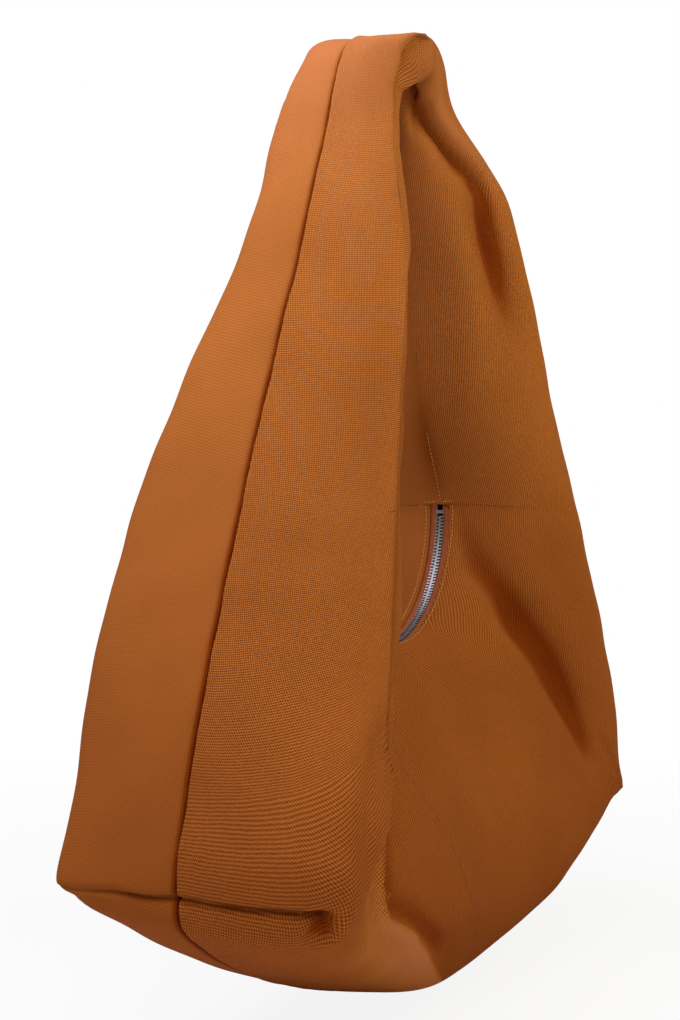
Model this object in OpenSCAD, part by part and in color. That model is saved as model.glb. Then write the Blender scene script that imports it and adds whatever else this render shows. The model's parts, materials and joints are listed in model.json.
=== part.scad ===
// Slouchy canvas trapeze bag, millimetres. Its origin is the underside of the strap's top,
// where it hangs. X runs from the near end to the far end, Y to the back, Z up.
// The whole skin is one tube bent round the arm loop. Each station is a cut across the tube,
// from the loop seam to the outer seam, and the cloth pieces are stretches of it.

/* [Cloth] */
// Thickness of the canvas
canvas_t = 1.5; // [1:0.1:2]
// Thickness of the lining
lining_t = 0.7; // [0.5:0.1:1]
// How deep the lining lies under the canvas face
lining_depth = 6.5; // [5:0.5:7]
// Half of the flat strip beside the loop seam
seam_flat = 10; // [8:1:12]
// Width of the tape bound over a seam
binding_w = 16; // [10:1:22]
// Thickness of the binding tape
binding_t = 0.8; // [0.5:0.1:1.2]
// Width of the webbing inside the strap
webbing_w = 38; // [25:1:50]
// Thickness of the webbing
webbing_t = 1.8; // [1:0.1:2.5]

/* [Arm loop] */
// Radius of the round bottom of the loop
loop_r = 95; // [80:1:110]
// Depth of the centre of that round below the hang point
loop_drop = 300; // [280:1:320]

/* [Zip] */
// Half of the gap between the canvas edges at the zip
window_half = 7.8; // [6:0.1:9]
// Width of the closed chain
chain_w = 6.4; // [5:0.1:7]
// Thickness of the teeth
tooth_h = 2.3; // [1.8:0.1:2.3]
// Spacing of the teeth in one row
tooth_pitch = 2.54; // [2.2:0.01:3]
// Half width of the tape
tape_half = 16; // [14:0.5:18]
// Thickness of the tape
tape_t = 0.5; // [0.4:0.1:0.6]

/* [Slider and puller] */
// Length of the slider along the chain
slider_l = 11; // [10:0.5:13]
// Gap between the slider's two plates
slider_gap = 2.9; // [2.8:0.1:3.2]
// Thickness of a slider plate
plate_t = 1; // [0.8:0.1:1.2]
// Length of the puller from its pivot
puller_l = 24; // [20:1:26]
// Width of the puller's blade
puller_w = 7; // [5:0.5:9]
// Thickness of the puller
puller_t = 1.6; // [1:0.1:2]

/* [Inner pocket] */
// Depth of the pocket, from hem to foot
pocket_h = 135; // [110:5:150]
// Height of the pocket's hem
hem_h = 14; // [8:1:20]

/* [Hidden] */
// Number of stations round the tube
turns = 20;
// Share of half a section that the flat strip beside the loop seam takes
flat_share = 0.08;
// Places left free beside the loop seam and the outer seam, so the halves meet without overlap
loop_seam_gap = 0.0008;
outer_seam_gap = 0.0003;
// Steps of the differences that give the skin's outward direction
small_a = 0.02;
small_c = 0.004;
// Stations at which the strap, the folding part of the legs and the bag meet
strap_end = 3.2;
bag_top = 4.85;
piece_gap = 0.004;
// Places across half a section of canvas, and its rows along the zip window
canvas_places = 15;
canvas_rows = 44;
// How far out the section stands beside the zip and at the outer seam, for widths given in mm
zip_reach = 80;
outer_reach = 90;
// Radius of the middle of the chain, just under the canvas edges
chain_r = loop_r + canvas_t + 0.6;
// Angles on the loop, from its far end down and round to its near end
window_start = -3;
slider_angle = 172;
bottom_stop_angle = 1;
first_tooth = 3;
tooth_step = tooth_pitch / chain_r * 180 / PI;
tooth_count = floor((slider_angle + 0.6 - first_tooth) / tooth_step);
tooth_l = tooth_pitch / 2 - 0.12;
tooth_head_h = tooth_h - 0.6;
tooth_overlap = 0.8;
stop_l = 2.6;
stop_clearance = 0.4;
// Depths of the layers under the canvas face
tape_depth = chain_r - loop_r - tape_t / 2;
facing_depth = 3;
binding_depth = 2.3;
corner_depth = 3.8;
webbing_depth = 3;
pocket_depth = lining_depth + lining_t + 3;
pocket_t = 0.8;
hem_t = 1;
// The place of the pocket's top edge, and the mm that one half section spans there
pocket_top = 0.36;
pocket_reach = 500;
// The lining starts this far beside the loop seam and ends this far from the outer seam
lining_from = 20;
lining_gap = 9;
lining_top = 5.2;
// The seam tapes and the lining's facings end this short of the legs
tape_gap = 0.03;
// Where the zip's tape and its facing start, in degrees on the loop, and their steps
strip_start = -5.5;
strip_steps = 46;
facing_edge = 0.8;
facing_half = 26;
tape_edge = 2;
webbing_end = 3;
// Half of the boxed corner's width, and where the corner's binding and the seam tapes end
corner_half = 75;
corner_from = 7.05;
corner_to = 7.35;
tape_step = 0.05;
// Slider: half widths at its closed end and its open end, the slit the tape runs in
slider_back = 4.3;
slider_mouth = 5.2;
flange_w = 0.8;
tape_slit = 1.3;
post_r = 0.9;
post_place = 3.2;
bridge_l = 7;
bridge_w = 2.8;
bridge_post = 1.2;
bridge_gap = 2.3;
bridge_t = 1;
// Puller: the bar under the bridge, the arms beside it and the blade, lifted off the chain
bar_r = 0.7;
pivot_h = slider_gap / 2 + plate_t + bridge_gap / 2;
puller_lift = 14;
arm_in = bridge_w / 2 + 0.5;
arm_w = 1.2;
arm_l = bridge_l / 2 + 1.9;
hole_r = 1.5;

canvas_colour = [0.66, 0.37, 0.17];
lining_colour = [0.55, 0.42, 0.28];
tape_colour = [0.42, 0.17, 0.08];
metal_colour = [0.72, 0.71, 0.68];
webbing_colour = [0.78, 0.72, 0.6];

// A point on the round bottom of the loop
function on_loop(angle) = [loop_r * cos(angle), -loop_drop - loop_r * sin(angle)];

// One station: a point on the loop seam, a point on the outer seam, how far the front stands
// out and how far along, the same for the back, and how square the inner and outer sides are
function station(inner, outer, front, back, inner_square, outer_square) =
    [inner.x, inner.y, outer.x, outer.y, front.x, front.y, back.x, back.y, inner_square, outer_square];

// The stations from the top of the strap round one end to the middle of the underside
half = [
    station([0, 0],       [0, 30],      [38, 0.50], [43, 0.50], 2.4, 4.2),
    station([8, -24],     [62, 16],     [30, 0.65], [45, 0.60], 2.2, 3.4),
    station([17, -60],    [90, -44],    [44, 0.80], [47, 0.72], 2.0, 2.8),
    station([36, -130],   [128, -130],  [66, 0.78], [56, 0.76], 1.9, 3.0),
    station([63, -230],   [176, -232],  [74, 0.70], [80, 0.75], 1.9, 3.2),
    station(on_loop(0),   [210, -310],  [83, 0.64], [90, 0.78], 1.8, 3.2),
    station(on_loop(25),  [252, -418],  [92, 0.70], [93, 0.82], 1.7, 3.4),
    station(on_loop(45),  [277, -517],  [97, 0.80], [88, 0.86], 1.6, 5.0),
    station(on_loop(60),  [246, -557],  [92, 0.86], [76, 0.80], 1.6, 3.2),
    station(on_loop(75),  [130, -607],  [93, 0.74], [78, 0.74], 1.5, 2.2),
    station(on_loop(90),  [0, -636],    [90, 0.68], [80, 0.68], 1.5, 2.1)
];
// The angles of the stations on the round bottom, and the first of those stations
loop_angles = [0, 25, 45, 60, 75, 90];
loop_start = 5;
// Degrees of the round that one station above it would span
degrees_above = 46;

function mirrored(s) = [-s[0], s[1], -s[2], s[3], s[4], s[5], s[6], s[7], s[8], s[9]];
function wrapped(i) = i - turns * floor(i / turns);
function nth(i) = let (k = wrapped(i)) k <= turns / 2 ? half[k] : mirrored(half[turns - k]);

// A smooth curve through four values, from the second to the third
function between(p, q, r, s, t) =
    0.5 * (2 * q + (r - p) * t + (2 * p - 5 * q + 4 * r - s) * t * t + (3 * q - p - 3 * r + s) * t * t * t);
function cut(a) = let (k = floor(a)) between(nth(k - 1), nth(k), nth(k + 1), nth(k + 2), a - k);

// The station at an angle on the loop
function near_knot(angle) = max([for (i = [0:len(loop_angles) - 2]) angle >= loop_angles[i] ? i : 0]);
function far_station(angle) =
    angle < 0
    ? loop_start + angle / degrees_above
    : let (k = near_knot(angle))
      loop_start + k + (angle - loop_angles[k]) / (loop_angles[k + 1] - loop_angles[k]);
function station_at(angle) = angle > 90 ? turns - far_station(180 - angle) : far_station(angle);

// Below the centre of the loop, its seam lies on the exact circle
function seam_point(x, z) =
    let (dz = z + loop_drop, r = norm([x, dz]))
    dz > 0 ? [x, z] : [x * loop_r / r, dz * loop_r / r - loop_drop];

// The place c runs round a section: 0 is the loop seam, 1 the outer seam, negative the front
function turned(c) = c - 2 * floor((c + 1) / 2);

// Half a rounded square: how far out it stands and how far along it is, at an angle
function rim(angle, square) = pow(pow(abs(cos(angle)), square) + pow(abs(sin(angle)), square), 1 / square);
function out(angle, square) = abs(sin(angle)) / rim(angle, square);
function along(angle, square) = abs(cos(angle)) / rim(angle, square);

// Broad hollows that the filled cloth falls into. Each has its middle, as a station and a place,
// its reach in stations and in places, and its depth towards the back
hollows = [
    [13.55, -0.375, 0.45, 0.085, 6],
    [12.8, -0.365, 0.45, 0.085, 8],
    [12.05, -0.375, 0.45, 0.085, 6],
    [6.45, 0.375, 0.45, 0.085, -6],
    [7.2, 0.365, 0.45, 0.085, -8],
    [7.95, 0.375, 0.45, 0.085, -6],
    [5.9, -0.18, 0.4, 0.06, 4],
    [6.6, -0.275, 0.4, 0.06, 5],
    [7.2, -0.38, 0.4, 0.07, 5]
];

// The front of the near leg hangs flat from the side seam to a sharp fold: from and to which
// station, how softly it starts and ends, how square its cut is, and how far the fold moves
// towards the loop, as a share of the cut
strip_from = 13.6;
strip_to = 19.1;
strip_fade = 0.2;
strip_square = 1.5;
strip_shift = 0.14;
function near_strip(a) =
    let (k = wrapped(a))
    1 / ((1 + exp((strip_from - k) / strip_fade)) * (1 + exp((k - strip_to) / strip_fade)));

// A difference taken the short way round
function short_way(d, n) = d - n * floor(d / n + 0.5);
function fades(da, dc, reach_a, reach_c) = exp(-pow(da / reach_a, 2) - pow(dc / reach_c, 2));
function hollow(a, c) =
    [for (h = hollows) fades(short_way(a - h[0], turns), short_way(c - h[1], 2), h[2], h[3])]
    * [for (h = hollows) h[4]];

// A point of the canvas face
function skin(a, c) =
    let (s = cut(a),
         t = turned(c),
         b = abs(t),
         side = t < 0 ? -1 : 1,
         inner = seam_point(s[0], s[1]),
         reach = t < 0 ? s[4] : s[6],
         strip = t < 0 ? near_strip(a) : 0,
         ridge = t < 0 ? s[5] - strip_shift * strip : s[7],
         angle = b < flat_share ? 0 : 180 * (b - flat_share) / (1 - flat_share),
         rounding = angle < 90 ? s[8] : s[9],
         square = rounding + (strip_square - rounding) * strip,
         y = angle < 90
             ? seam_flat * min(1, b / flat_share) + (reach - seam_flat) * out(angle, square)
             : reach * out(angle, square),
         m = angle < 90
             ? ridge * (1 - along(angle, square))
             : ridge + (1 - ridge) * along(angle, square))
    [inner.x + m * (s[2] - inner.x), side * y + hollow(a, c), inner.y + m * (s[3] - inner.y)];

function unit(v) = v / norm(v);

// The direction out of the bag at a point
function outward(a, c) =
    unit(cross(skin(a, c + small_c) - skin(a, c - small_c), skin(a + small_a, c) - skin(a - small_a, c)));

// A point under the canvas face by a depth
function under(a, c, depth) = skin(a, c) - depth * outward(a, c);

function steps(from, to, n) = [for (i = [0:n]) from + (to - from) * i / n];
function mixed(p, q, t) = p + (q - p) * t;

// Widths in mm as places, beside the zip and beside the outer seam
function zip_place(y) =
    y <= seam_flat
    ? flat_share * y / seam_flat
    : flat_share + (1 - flat_share) * (y - seam_flat) / (PI * zip_reach);
function outer_place(y) = (1 - flat_share) * y / (PI * outer_reach);

// Stations at even angles on the loop, from one side of it to the other
function round_loop(start, n) = [for (g = steps(start, 180 - start, n)) station_at(g)];

// A grid of stations and places
function patch(stations, places) = [for (a = stations) [for (c = places) [a, c]]];

// A closed sheet over a grid, from one depth under the canvas face to another
module sheet(grid, top, bottom) {
    rows = len(grid);
    cols = len(grid[0]);
    layer = rows * cols;
    points = concat(
        [for (row = grid) for (p = row) under(p[0], p[1], top)],
        [for (row = grid) for (p = row) under(p[0], p[1], bottom)]);
    faces = concat(
        [for (i = [0:rows - 2]) for (j = [0:cols - 2]) let (k = i * cols + j)
            each [[k, k + cols, k + cols + 1], [k, k + cols + 1, k + 1]]],
        [for (i = [0:rows - 2]) for (j = [0:cols - 2]) let (k = layer + i * cols + j)
            each [[k, k + cols + 1, k + cols], [k, k + 1, k + cols + 1]]],
        [for (i = [0:rows - 2]) for (e = [0, 1]) let (k = i * cols + e * (cols - 1))
            each e == 0
            ? [[k, k + layer, k + cols + layer], [k, k + cols + layer, k + cols]]
            : [[k, k + cols + layer, k + layer], [k, k + cols, k + cols + layer]]],
        [for (j = [0:cols - 2]) for (e = [0, 1]) let (k = j + e * (rows - 1) * cols)
            each e == 0
            ? [[k, k + 1 + layer, k + layer], [k, k + 1, k + 1 + layer]]
            : [[k, k + layer, k + 1 + layer], [k, k + 1 + layer, k + 1]]]);
    polyhedron(points, faces);
}

// Places on the front (side -1) or the back (side 1), always in the same turning sense
function on_side(side, places) =
    side > 0 ? places : [for (i = [len(places) - 1:-1:0]) -places[i]];

// Places across the canvas, from an edge beside the loop seam to the outer seam. They fall on
// the fold beside the flat strip and on the edges of the tape and the facing under it
function across(side, edge) = on_side(side, concat(
    [edge, flat_share, zip_place(tape_half)],
    steps(zip_place(facing_half), 1 - outer_seam_gap, canvas_places)));

module strap_half(side) {
    sheet(patch(steps(-strap_end, strap_end, 24), across(side, loop_seam_gap)), 0, canvas_t);
}

// The stretch of both legs that folds when the strap lies down over the bag
module leg_fold_half(side) {
    for (from = [strap_end, turns - bag_top]) {
        stretch = steps(from + piece_gap, from + bag_top - strap_end - piece_gap, 6);
        sheet(patch(stretch, across(side, loop_seam_gap)), 0, canvas_t);
    }
}

// The bag's half, whose edge stands back from the seam along the zip window
window_station = station_at(window_start);
window_place = zip_place(window_half);
window_step = 0.012;

function window_stations() = concat(
    [bag_top, window_station - window_step],
    round_loop(window_start, canvas_rows),
    [turns - window_station + window_step, turns - bag_top]);

function in_window(a) = a > window_station - window_step && a < turns - window_station + window_step;

module panel_half(side) {
    grid = [for (a = window_stations())
        [for (c = across(side, in_window(a) ? window_place : loop_seam_gap)) [a, c]]];
    sheet(grid, 0, canvas_t);
}

module front_strap() {
    color(canvas_colour) strap_half(-1);
}

module back_strap() {
    color(canvas_colour) strap_half(1);
}

module front_leg_fold() {
    color(canvas_colour) leg_fold_half(-1);
}

module back_leg_fold() {
    color(canvas_colour) leg_fold_half(1);
}

module front_panel() {
    color(canvas_colour) panel_half(-1);
}

module back_panel() {
    color(canvas_colour) panel_half(1);
}

// Webbing that carries the load over the strap's top, just inside the outer seam
module strap_webbing() {
    w = outer_place(webbing_w);
    color(webbing_colour)
        sheet(patch(steps(-webbing_end, webbing_end, 18), steps(1 - w, 1 + w, 6)),
              webbing_depth, webbing_depth + webbing_t);
}

// The lining hangs inside the bag, sewn to the zip facing and open into the legs
module lining_half(side) {
    places = steps(zip_place(lining_from), 1 - outer_place(lining_gap), 12);
    color(lining_colour)
        sheet(patch(steps(lining_top, turns - lining_top, 26), on_side(side, places)),
              lining_depth, lining_depth + lining_t);
}

module front_lining() {
    lining_half(-1);
}

module back_lining() {
    lining_half(1);
}

// Strips along the zip window, from one distance beside the seam to another
module zip_strip(side, from, to, top, thickness) {
    places = steps(zip_place(from), zip_place(to), 3);
    sheet(patch(round_loop(strip_start, strip_steps), on_side(side, places)), top, top + thickness);
}

module zip_facing_front() {
    color(lining_colour) zip_strip(-1, window_half + facing_edge, facing_half, facing_depth, lining_t);
}

module zip_facing_back() {
    color(lining_colour) zip_strip(1, window_half + facing_edge, facing_half, facing_depth, lining_t);
}

module zip_tape_front() {
    color(tape_colour) zip_strip(-1, tape_edge, tape_half, tape_depth, tape_t);
}

module zip_tape_back() {
    color(tape_colour) zip_strip(1, tape_edge, tape_half, tape_depth, tape_t);
}

// A place on the chain: its own X runs back towards the bottom stop, Z to the middle of the loop
module on_chain(angle) {
    translate([0, 0, -loop_drop]) rotate([0, angle - 90, 0]) translate([0, 0, -chain_r]) children();
}

// One tooth, clamped on the tape's edge, with a head that reaches past the middle
module tooth(side) {
    root = side * chain_w / 2;
    neck = side * chain_w / 5;
    head = -side * tooth_overlap;
    rotate([90, 0, 90])
        linear_extrude(tooth_l, center = true)
            polygon([
                [root, -tooth_h / 2], [neck, -tooth_h / 2], [neck, -tooth_head_h / 2],
                [head, -tooth_head_h / 2], [head, tooth_head_h / 2], [neck, tooth_head_h / 2],
                [neck, tooth_h / 2], [root, tooth_h / 2]]);
}

module teeth_row(side, shift) {
    color(metal_colour)
        for (i = [0:tooth_count - 1])
            on_chain(first_tooth + (i + shift) * tooth_step) tooth(side);
}

module zip_teeth_front() {
    teeth_row(-1, 0);
}

module zip_teeth_back() {
    teeth_row(1, 0.5);
}

// Two small clamps that stop the slider at the closed end
module zip_top_stops() {
    past = (slider_l / 2 + stop_clearance + stop_l / 2) / chain_r * 180 / PI;
    color(metal_colour)
        on_chain(slider_angle + past)
            for (side = [-1, 1])
                translate([0, side * (chain_w / 2 + 0.4), 0]) cube([stop_l, 1.8, tooth_h], center = true);
}

// One clamp over both tapes that ends the chain
module zip_bottom_stop() {
    color(metal_colour)
        on_chain(bottom_stop_angle - 0.2) cube([stop_l, chain_w, tooth_h], center = true);
}

// Tapes bound over the seams inside the bag
module outer_tape(from, to, n, half_width, across_n, depth = binding_depth) {
    w = outer_place(half_width);
    color(tape_colour)
        sheet(patch(steps(from, to, n), steps(1 - w, 1 + w, across_n)), depth, depth + binding_t);
}

module side_seam_tape_near() {
    outer_tape(turns - corner_from + tape_step, turns - bag_top - tape_gap, 10, binding_w / 2, 4);
}

module side_seam_tape_far() {
    outer_tape(bag_top + tape_gap, corner_from - tape_step, 10, binding_w / 2, 4);
}

module bottom_seam_tape() {
    outer_tape(corner_to + tape_step, turns - corner_to - tape_step, 22, binding_w / 2, 4);
}

// Binding across the boxed corner, from its front ear to its back ear
module box_corner_binding_near() {
    outer_tape(turns - corner_to, turns - corner_from, 3, corner_half, 16, corner_depth);
}

module box_corner_binding_far() {
    outer_tape(corner_from, corner_to, 3, corner_half, 16, corner_depth);
}

// A slip pocket on the inside of the front. Its near edge is the curved line of stitches
// that shows on the outside
function pocket_near(v) = 11.85 - 2.4 * v + 0.95 * v * v;
function pocket_far(v) = 8.5 + 0.9 * v;
function pocket_place(v) = -(pocket_top + pocket_h / pocket_reach * v);
function pocket_grid(from, to, n) =
    [for (u = steps(0, 1, 10))
        [for (v = steps(to, from, n)) [mixed(pocket_far(v), pocket_near(v), u), pocket_place(v)]]];

module inner_pocket() {
    color(lining_colour) sheet(pocket_grid(0, 1, 8), pocket_depth, pocket_depth + pocket_t);
}

module pocket_hem() {
    depth = pocket_depth + pocket_t + 0.2;
    color(tape_colour) sheet(pocket_grid(0, hem_h / pocket_h, 2), depth, depth + hem_t);
}

// The slider: two plates with turned-in edges round the chain, joined by the post that
// parts the teeth, and a bridge that holds the puller
module slider_outline(inset) {
    l = slider_l / 2;
    polygon([
        [-l, -slider_back + inset], [0, -slider_back + inset], [l, -slider_mouth + inset],
        [l, slider_mouth - inset], [0, slider_back - inset], [-l, slider_back - inset]]);
}

module slider_plate() {
    linear_extrude(plate_t) slider_outline(0);
    linear_extrude(plate_t + (slider_gap - tape_slit) / 2)
        difference() {
            slider_outline(0);
            scale([1.2, 1]) slider_outline(flange_w);
        }
}

module zip_slider() {
    plate_out = slider_gap / 2 + plate_t;
    color(metal_colour)
        on_chain(slider_angle) rotate([0, 0, 180]) {
            translate([0, 0, -plate_out]) slider_plate();
            translate([0, 0, plate_out]) mirror([0, 0, 1]) slider_plate();
            translate([post_place, 0, -plate_out]) cylinder(r = post_r, h = 2 * plate_out, $fn = 32);
            for (end = [-1, 1])
                translate([end * (bridge_l - bridge_post) / 2, 0, plate_out + bridge_gap / 2])
                    cube([bridge_post, bridge_w, bridge_gap + 0.2], center = true);
            translate([0, 0, plate_out + bridge_gap + bridge_t / 2])
                cube([bridge_l, bridge_w, bridge_t], center = true);
        }
}

// The puller: a bar through the bridge, two arms and a blade with a small hole
module zip_puller() {
    wide = 2 * (arm_in + arm_w);
    color(metal_colour)
        on_chain(slider_angle)
            translate([0, 0, pivot_h])
                rotate([0, -puller_lift, 0]) {
                    rotate([90, 0, 0]) cylinder(r = bar_r, h = wide, center = true, $fn = 32);
                    for (side = [-1, 1])
                        translate([arm_l / 2, side * (arm_in + arm_w / 2), 0])
                            cube([arm_l, arm_w, puller_t], center = true);
                    translate([0, 0, -puller_t / 2])
                        linear_extrude(puller_t)
                            difference() {
                                union() {
                                    translate([arm_l - 0.1, -wide / 2]) square([2, wide]);
                                    translate([arm_l + 1, -puller_w / 2])
                                        square([puller_l - arm_l - 1 - puller_w / 2, puller_w]);
                                    translate([puller_l - puller_w / 2, 0])
                                        circle(d = puller_w, $fn = 48);
                                }
                                translate([puller_l - puller_w / 2, 0]) circle(r = hole_r, $fn = 32);
                            }
                }
}

front_strap();
back_strap();
strap_webbing();
front_leg_fold();
back_leg_fold();
front_panel();
back_panel();
front_lining();
back_lining();
zip_facing_front();
zip_facing_back();
zip_tape_front();
zip_tape_back();
zip_teeth_front();
zip_teeth_back();
zip_top_stops();
zip_bottom_stop();
side_seam_tape_near();
side_seam_tape_far();
bottom_seam_tape();
box_corner_binding_near();
box_corner_binding_far();
inner_pocket();
pocket_hem();
zip_slider();
zip_puller();
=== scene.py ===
# %% [markdown]
# The canvas bag hangs by the top of its strap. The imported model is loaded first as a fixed
# frame, in metres, with its origin at the hang point, X from the near end to the far end,
# Y from front to back and Z up. Everything made here is placed in that frame.

# %% Load the frame
import json

import bpy
import numpy as np
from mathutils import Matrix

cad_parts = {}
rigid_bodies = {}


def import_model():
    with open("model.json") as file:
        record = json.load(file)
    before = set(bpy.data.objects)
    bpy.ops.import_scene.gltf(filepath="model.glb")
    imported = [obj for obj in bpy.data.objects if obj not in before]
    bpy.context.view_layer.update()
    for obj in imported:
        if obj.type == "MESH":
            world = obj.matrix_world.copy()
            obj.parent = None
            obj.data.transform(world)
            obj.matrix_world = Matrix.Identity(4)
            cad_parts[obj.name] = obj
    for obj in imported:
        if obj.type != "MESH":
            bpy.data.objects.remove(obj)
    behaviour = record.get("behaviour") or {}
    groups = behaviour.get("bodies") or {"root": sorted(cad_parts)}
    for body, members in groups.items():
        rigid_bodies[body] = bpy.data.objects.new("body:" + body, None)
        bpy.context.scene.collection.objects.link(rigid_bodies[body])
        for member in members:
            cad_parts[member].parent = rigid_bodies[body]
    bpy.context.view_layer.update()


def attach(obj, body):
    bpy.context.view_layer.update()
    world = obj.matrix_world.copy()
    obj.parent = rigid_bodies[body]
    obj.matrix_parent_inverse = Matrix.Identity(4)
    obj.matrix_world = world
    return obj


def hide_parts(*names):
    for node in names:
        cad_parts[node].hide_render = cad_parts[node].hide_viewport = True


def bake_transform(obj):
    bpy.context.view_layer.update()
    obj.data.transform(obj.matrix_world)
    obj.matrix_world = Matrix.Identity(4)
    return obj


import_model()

MM = 0.001

# %% [markdown]
# A cloth piece is a grid of points. Its outer face is fine and its inner face, which nobody
# sees, has half the points each way, so most of the triangles go where the eye does. The two
# faces are joined along every free edge by a row of small triangles.

# %% Grids of points become closed meshes


def new_object(name, points, faces, uv=None):
    """A mesh object from points in mm and faces of point numbers, placed at the origin."""
    mesh = bpy.data.meshes.new(name)
    mesh.from_pydata((np.asarray(points) * MM).tolist(), [], faces)
    if uv is not None:
        layer = mesh.uv_layers.new(name="cloth")
        loops = np.empty(len(mesh.loops), dtype=np.int32)
        mesh.loops.foreach_get("vertex_index", loops)
        layer.data.foreach_set("uv", (np.asarray(uv)[loops] * MM).ravel())
    mesh.polygons.foreach_set("use_smooth", np.ones(len(mesh.polygons), dtype=bool))
    mesh.update()
    obj = bpy.data.objects.new(name, mesh)
    bpy.context.scene.collection.objects.link(obj)
    return obj


def quads(rows, cols, first, ring, flip):
    """Quads between neighbours of a grid, whose rows may close into a ring."""
    k = first + np.arange(rows * cols).reshape(rows, cols)
    if ring:
        k = np.vstack([k, k[:1]])
    face = np.stack([k[:-1, :-1], k[1:, :-1], k[1:, 1:], k[:-1, 1:]], -1).reshape(-1, 4)
    return face[:, ::-1] if flip else face


def grid_normals(points, ring):
    """The direction out of the cloth: the cross product of the differences across and along."""
    if ring:
        along = np.roll(points, -1, 0) - np.roll(points, 1, 0)
    else:
        along = np.gradient(points, axis=0)
    cross = np.cross(np.gradient(points, axis=1), along)
    return cross / np.linalg.norm(cross, axis=-1, keepdims=True)


def edge_strip(fine, coarse):
    """Three triangles for every two fine edges and the coarse edge that faces them."""
    a, b, c = fine[:-1:2], fine[1::2], fine[2::2]
    p, q = coarse[:-1], coarse[1:]
    return np.concatenate([np.stack(three, -1) for three in ((a, b, p), (b, q, p), (b, c, q))])


def thick_sheet(name, outer, thickness, ring=False, uv=None, painted_shading=None):
    """A closed sheet: the given outer grid, and an inner one a thickness below every other point.
    It carries its flat coordinates and, where given, its painted light and shade."""
    rows, cols = outer.shape[:2]
    normals = grid_normals(outer, ring)
    inner = (outer - thickness * normals)[::2, ::2]
    r2, c2 = inner.shape[:2]
    first = rows * cols
    f = np.arange(first).reshape(rows, cols)
    g = first + np.arange(r2 * c2).reshape(r2, c2)
    if ring:
        f, g = np.vstack([f, f[:1]]), np.vstack([g, g[:1]])
    faces = quads(rows, cols, 0, ring, False).tolist() + quads(r2, c2, first, ring, True).tolist()
    rims = [edge_strip(f[:, 0], g[:, 0])[:, ::-1], edge_strip(f[:, -1], g[:, -1])]
    if not ring:
        rims += [edge_strip(f[0], g[0]), edge_strip(f[-1], g[-1])[:, ::-1]]
    for rim in rims:
        faces += rim.tolist()
    points = np.concatenate([outer.reshape(-1, 3), inner.reshape(-1, 3)])
    if uv is not None:
        uv = np.concatenate([uv.reshape(-1, 2), uv[::2, ::2].reshape(-1, 2)])
    obj = new_object(name, points, faces, uv)
    if painted_shading is not None:
        layer = obj.data.attributes.new("painted_light_and_shade", "FLOAT", "POINT")
        layer.data.foreach_set("value", np.concatenate([painted_shading.ravel(), painted_shading[::2, ::2].ravel()]))
    print(name, len(faces), "faces")
    return obj


# %% [markdown]
# The photograph was taken level, at the height of the middle of the loop, from the near end
# and a little to the front, with a lens of about 58 mm. The bag hangs free against white, so
# the floor and the backdrop are one pale sheet that only shows a soft shadow.

# %% Camera
EYE_HEIGHT = -300.0
VIEW_ACROSS = (0.894, 0.448)
CAMERA_SPOT = (-1065.4, -496.6)
LENS = 58.13
FILM = 36.0


def place_camera():
    """A level camera at the photograph's place, looking along VIEW_ACROSS. Places are in mm."""
    data = bpy.data.cameras.new("photo_camera")
    data.sensor_fit = "VERTICAL"
    data.sensor_height = FILM
    data.lens = LENS
    data.clip_start, data.clip_end = 0.01, 50
    cam = bpy.data.objects.new("photo_camera", data)
    cam.location = (CAMERA_SPOT[0] * MM, CAMERA_SPOT[1] * MM, EYE_HEIGHT * MM)
    heading = np.arctan2(VIEW_ACROSS[1], VIEW_ACROSS[0]) - np.pi / 2
    cam.rotation_euler = (np.pi / 2, 0, heading)
    bpy.context.scene.collection.objects.link(cam)
    bpy.context.scene.camera = cam


place_camera()
print("camera:", CAMERA_SPOT, "height", EYE_HEIGHT, "lens", LENS)

# %% [markdown]
# Shader maths reads best as plain expressions. A small class wraps a node's socket and turns
# each operator into one Math node, so a weave can be written as a formula.

# %% Expressions on shader sockets


class Value:
    """A number that varies over a surface. Operators on it add Math nodes."""

    def __init__(self, shader, socket):
        self.shader, self.socket = shader, socket

    def maths(self, operation, *others, **settings):
        out = self.shader.node("ShaderNodeMath", {"operation": operation, **settings},
                               dict(enumerate((self, *others))))
        return Value(self.shader, out.outputs[0])

    def __add__(self, other): return self.maths("ADD", other)
    def __sub__(self, other): return self.maths("SUBTRACT", other)
    def __rsub__(self, other): return self.maths("MULTIPLY", -1.0).maths("ADD", other)
    def __mul__(self, other): return self.maths("MULTIPLY", other)
    def __pow__(self, other): return self.maths("POWER", other)
    def sine(self): return self.maths("SINE")
    def clamped(self): return self.maths("ADD", 0.0, use_clamp=True)


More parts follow.
